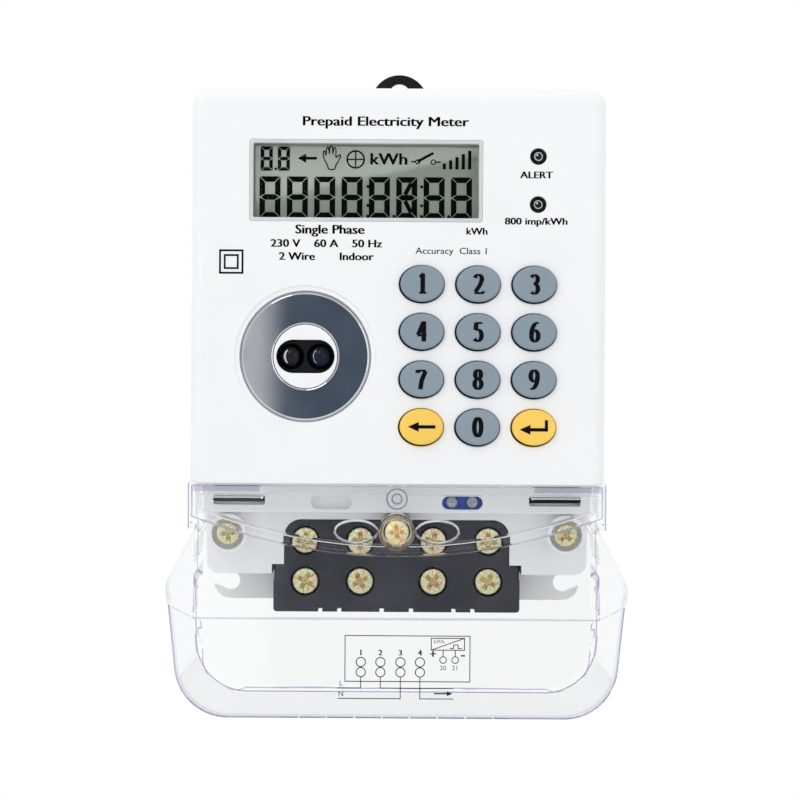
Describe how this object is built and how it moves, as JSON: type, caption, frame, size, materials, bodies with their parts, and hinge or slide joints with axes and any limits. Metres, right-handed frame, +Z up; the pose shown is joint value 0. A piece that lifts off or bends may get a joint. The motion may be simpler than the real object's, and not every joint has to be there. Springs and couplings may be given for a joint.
{
  "type": "prepaid electricity meter",
  "caption": "Wall-hung single-phase energy meter with a keypad, a display, an optical port and a clear terminal cover over a screw terminal block.",
  "frame": {"origin": "on the flat back face of the base case, on the centre line, 64 mm below the case's top edge", "axes": "+Z up the wall, +Y into the wall, -Y out of the front face, +X to the reader's right"},
  "size_m": [0.1114, 0.0593, 0.155],
  "materials": {
    "case_white": "fine satin moulding",
    "base_white": "fine satin moulding",
    "clear_plastic": "clear polycarbonate",
    "display_glass": "liquid crystal glass",
    "window_clear": "clear window",
    "key_grey": "matt silicone rubber",
    "key_yellow": "matt silicone rubber",
    "mat_rubber": "silicone rubber",
    "gasket_rubber": "foam rubber",
    "port_steel": "polished nickel-plated steel",
    "black_plastic": "black moulding",
    "eye_plastic": "dark glossy epoxy",
    "lamp_plastic": "clear epoxy",
    "block_black": "black phenolic moulding",
    "zinc_yellow": "yellow passivated zinc on steel",
    "brass": "machined brass",
    "copper": "plain copper",
    "tin_metal": "tinned metal",
    "board_green": "solder resist on glass laminate",
    "gold_pad": "gold-plated pads",
    "chip_black": "moulded epoxy",
    "relay_blue": "relay case",
    "capacitor_yellow": "film capacitor box",
    "sleeve_green": "shrink sleeve",
    "pulse_blue": "blue moulding",
    "white_plastic": "light guide moulding"
  },
  "bodies": {
    "case": {"base_case": "base_white", "front_cover": "case_white", "case_gasket": "gasket_rubber", "case_screws": "zinc_yellow", "display_window": "window_clear", "lcd_glass": "display_glass", "lcd_holder": "white_plastic", "lcd_pins": "tin_metal", "alarm_lamp": "lamp_plastic", "pulse_lamp": "lamp_plastic", "port_ring": "port_steel", "port_holder": "black_plastic", "port_emitter": "eye_plastic", "port_receiver": "eye_plastic", "keypad_mat": "mat_rubber", "key_contacts": "gold_pad", "front_board": "board_green", "main_board": "board_green", "board_header": "black_plastic", "board_screws": "tin_metal", "metering_chips": "chip_black", "latching_relay": "relay_blue", "shunt": "copper", "current_transformer": "relay_blue", "mains_capacitor": "capacitor_yellow", "varistor": "relay_blue", "power_transformer": "capacitor_yellow", "smoothing_capacitors": "chip_black", "backup_battery": "sleeve_green", "buzzer": "black_plastic", "terminal_block": "block_black", "terminal_sleeves": "brass", "terminal_screws": "zinc_yellow", "live_in_strap": "copper", "live_out_strap": "copper", "neutral_strap": "copper", "pulse_terminal": "pulse_blue", "pulse_screws": "tin_metal", "cover_insert": "brass"},
    "cover": {"terminal_cover": "clear_plastic"},
    "cover_screw": {"cover_screw": "zinc_yellow"},
    "hanger": {"hanger": "black_plastic"},
    "key_0": {"key_0": "key_grey"},
    "key_1": {"key_1": "key_grey"},
    "key_2": {"key_2": "key_grey"},
    "key_3": {"key_3": "key_grey"},
    "key_4": {"key_4": "key_grey"},
    "key_5": {"key_5": "key_grey"},
    "key_6": {"key_6": "key_grey"},
    "key_7": {"key_7": "key_grey"},
    "key_8": {"key_8": "key_grey"},
    "key_9": {"key_9": "key_grey"},
    "key_back": {"key_back": "key_yellow"},
    "key_enter": {"key_enter": "key_yellow"}
  },
  "joints": [
    {"name": "cover_slide", "type": "slide", "parent": "case", "child": "cover", "axis": [0, -1, 0], "range_m": [0, 0.06]},
    {"name": "cover_screw_turn", "type": "hinge", "parent": "cover", "child": "cover_screw", "pos_m": [0, -0.05, -0.0351], "axis": [0, -1, 0], "continuous": true},
    {"name": "hanger_slide", "type": "slide", "parent": "case", "child": "hanger", "axis": [0, 0, 1], "range_m": [-0.012, 0]},
    {"name": "key_0_press", "type": "slide", "parent": "case", "child": "key_0", "axis": [0, 1, 0], "range_m": [0, 0.0012], "stiffness_N_per_m": 1200},
    {"name": "key_1_press", "type": "slide", "parent": "case", "child": "key_1", "axis": [0, 1, 0], "range_m": [0, 0.0012], "stiffness_N_per_m": 1200},
    {"name": "key_2_press", "type": "slide", "parent": "case", "child": "key_2", "axis": [0, 1, 0], "range_m": [0, 0.0012], "stiffness_N_per_m": 1200},
    {"name": "key_3_press", "type": "slide", "parent": "case", "child": "key_3", "axis": [0, 1, 0], "range_m": [0, 0.0012], "stiffness_N_per_m": 1200},
    {"name": "key_4_press", "type": "slide", "parent": "case", "child": "key_4", "axis": [0, 1, 0], "range_m": [0, 0.0012], "stiffness_N_per_m": 1200},
    {"name": "key_5_press", "type": "slide", "parent": "case", "child": "key_5", "axis": [0, 1, 0], "range_m": [0, 0.0012], "stiffness_N_per_m": 1200},
    {"name": "key_6_press", "type": "slide", "parent": "case", "child": "key_6", "axis": [0, 1, 0], "range_m": [0, 0.0012], "stiffness_N_per_m": 1200},
    {"name": "key_7_press", "type": "slide", "parent": "case", "child": "key_7", "axis": [0, 1, 0], "range_m": [0, 0.0012], "stiffness_N_per_m": 1200},
    {"name": "key_8_press", "type": "slide", "parent": "case", "child": "key_8", "axis": [0, 1, 0], "range_m": [0, 0.0012], "stiffness_N_per_m": 1200},
    {"name": "key_9_press", "type": "slide", "parent": "case", "child": "key_9", "axis": [0, 1, 0], "range_m": [0, 0.0012], "stiffness_N_per_m": 1200},
    {"name": "key_back_press", "type": "slide", "parent": "case", "child": "key_back", "axis": [0, 1, 0], "range_m": [0, 0.0012], "stiffness_N_per_m": 1200},
    {"name": "key_enter_press", "type": "slide", "parent": "case", "child": "key_enter", "axis": [0, 1, 0], "range_m": [0, 0.0012], "stiffness_N_per_m": 1200}
  ]
}
